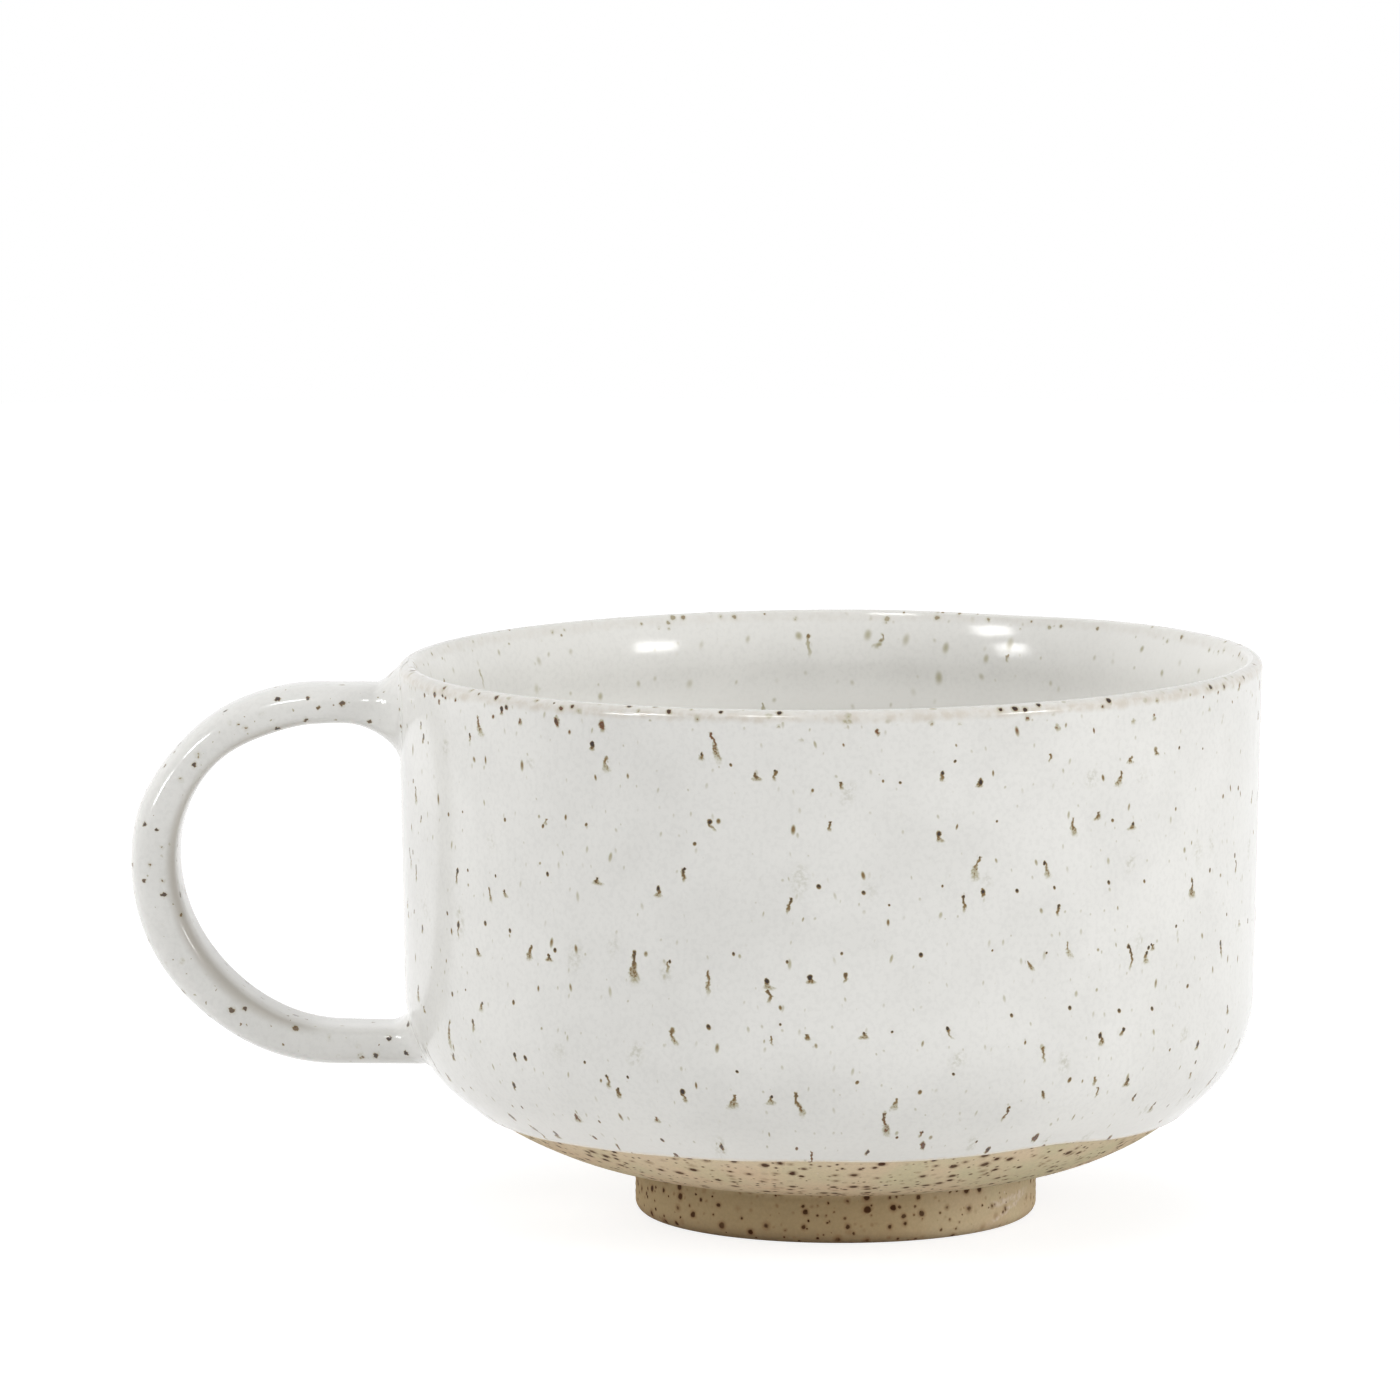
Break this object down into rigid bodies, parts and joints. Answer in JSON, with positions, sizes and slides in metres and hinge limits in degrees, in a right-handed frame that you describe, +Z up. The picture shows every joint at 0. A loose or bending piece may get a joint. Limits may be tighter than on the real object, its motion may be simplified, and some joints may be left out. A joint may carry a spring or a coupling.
{
  "type": "soup mug",
  "caption": "Wide, low stoneware mug with a rounded base, a turned foot ring and a strap handle, glazed white with iron specks above bare clay.",
  "frame": {"origin": "centre of the ring that the foot stands on, on the bowl's axis", "axes": "+Z up along the bowl's axis, the handle stands out towards -X, and Y runs across the handle's loop"},
  "size_m": [0.164, 0.125, 0.081],
  "materials": {
    "clay": "bare speckled stoneware, matt",
    "glaze": "glossy white with iron specks"
  },
  "bodies": {
    "root": {"bowl": "clay", "foot_ring": "clay", "handle_strap": "clay", "upper_handle_joint": "clay", "lower_handle_joint": "clay", "outer_glaze": "glaze", "inner_glaze": "glaze", "handle_glaze": "glaze"}
  },
  "joints": []
}
